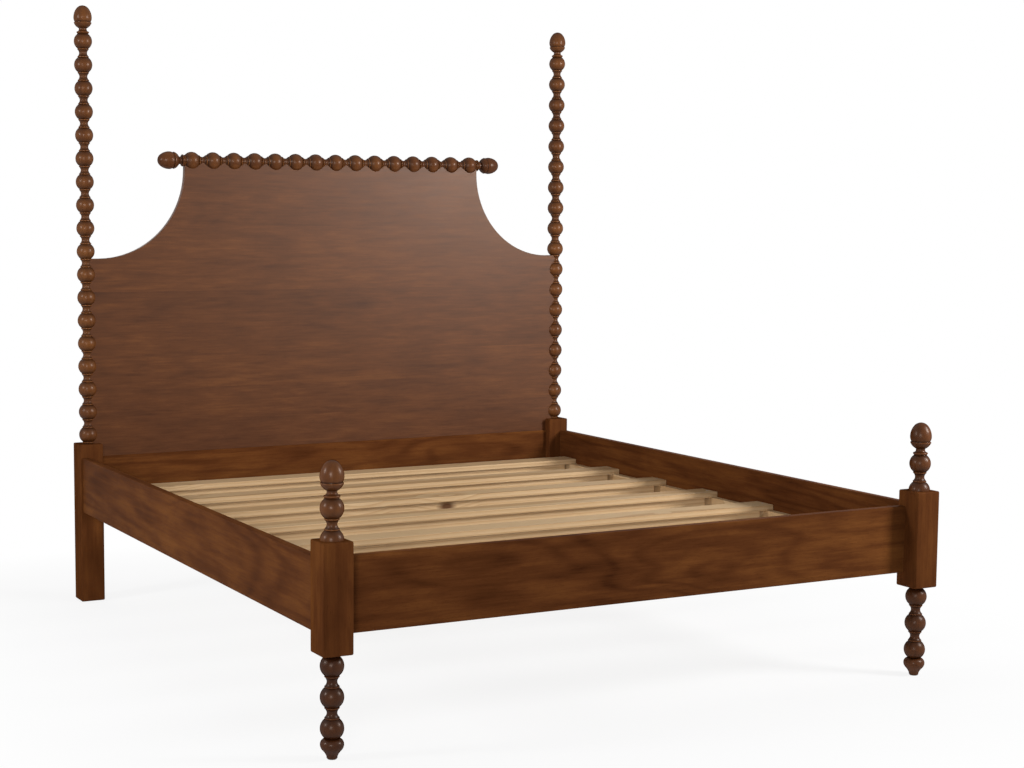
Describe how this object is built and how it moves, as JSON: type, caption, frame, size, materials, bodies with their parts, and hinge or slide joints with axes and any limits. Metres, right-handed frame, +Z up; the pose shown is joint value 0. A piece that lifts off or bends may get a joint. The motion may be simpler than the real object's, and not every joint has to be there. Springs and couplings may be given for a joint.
{
  "type": "bed frame",
  "caption": "Wooden bed frame with tall bobbin-turned head posts, acorn finials, a scooped headboard under a turned crest rail, plain rails and slats.",
  "frame": {"origin": "on the floor under the middle of the bed", "axes": "+Z up, +Y towards the headboard, +X towards the right side seen from the foot"},
  "size_m": [2.025, 2.219, 2.1126],
  "materials": {
    "stained_wood": "satin lacquer over a walnut-brown stain",
    "slat_wood": "planed, unfinished",
    "steel": "zinc plated",
    "brass": "turned",
    "glide_plastic": "moulded"
  },
  "bodies": {
    "frame": {"cleat_screws": "steel", "crest_rail": "stained_wood", "finial_crest_left": "stained_wood", "finial_crest_right": "stained_wood", "finial_foot_left": "stained_wood", "finial_foot_right": "stained_wood", "floor_glides": "glide_plastic", "foot_post_left": "stained_wood", "foot_post_right": "stained_wood", "foot_rail": "stained_wood", "head_post_left": "stained_wood", "head_post_right": "stained_wood", "headboard_lower_rail": "stained_wood", "headboard_panel": "stained_wood", "hook_plate_screws": "steel", "post_slot_plate_left_foot": "steel", "post_slot_plate_left_head": "steel", "post_slot_plate_right_foot": "steel", "post_slot_plate_right_head": "steel", "rail_hook_plate_left_foot": "steel", "rail_hook_plate_left_head": "steel", "rail_hook_plate_right_foot": "steel", "rail_hook_plate_right_head": "steel", "side_rail_left": "stained_wood", "side_rail_right": "stained_wood", "slat_1": "slat_wood", "slat_2": "slat_wood", "slat_3": "slat_wood", "slat_4": "slat_wood", "slat_5": "slat_wood", "slat_6": "slat_wood", "slat_7": "slat_wood", "slat_cleat_left": "slat_wood", "slat_cleat_right": "slat_wood", "slat_rib_1": "slat_wood", "slat_rib_2": "slat_wood", "slat_rib_3": "slat_wood", "slat_rib_4": "slat_wood", "slat_rib_5": "slat_wood", "slat_rib_6": "slat_wood", "slat_rib_7": "slat_wood", "slat_screws": "steel", "slot_plate_screws": "steel", "spire_insert_left": "brass", "spire_insert_right": "brass"},
    "left_spire": {"spire_left": "stained_wood", "finial_head_left": "stained_wood", "spire_bolt_left": "steel"},
    "right_spire": {"spire_right": "stained_wood", "finial_head_right": "stained_wood", "spire_bolt_right": "steel"}
  },
  "joints": [
    {"name": "left_spire_lift", "type": "slide", "parent": "frame", "child": "left_spire", "axis": [0, 0, 1], "range_m": [0, 0.045]},
    {"name": "right_spire_lift", "type": "slide", "parent": "frame", "child": "right_spire", "axis": [0, 0, 1], "range_m": [0, 0.045]}
  ]
}
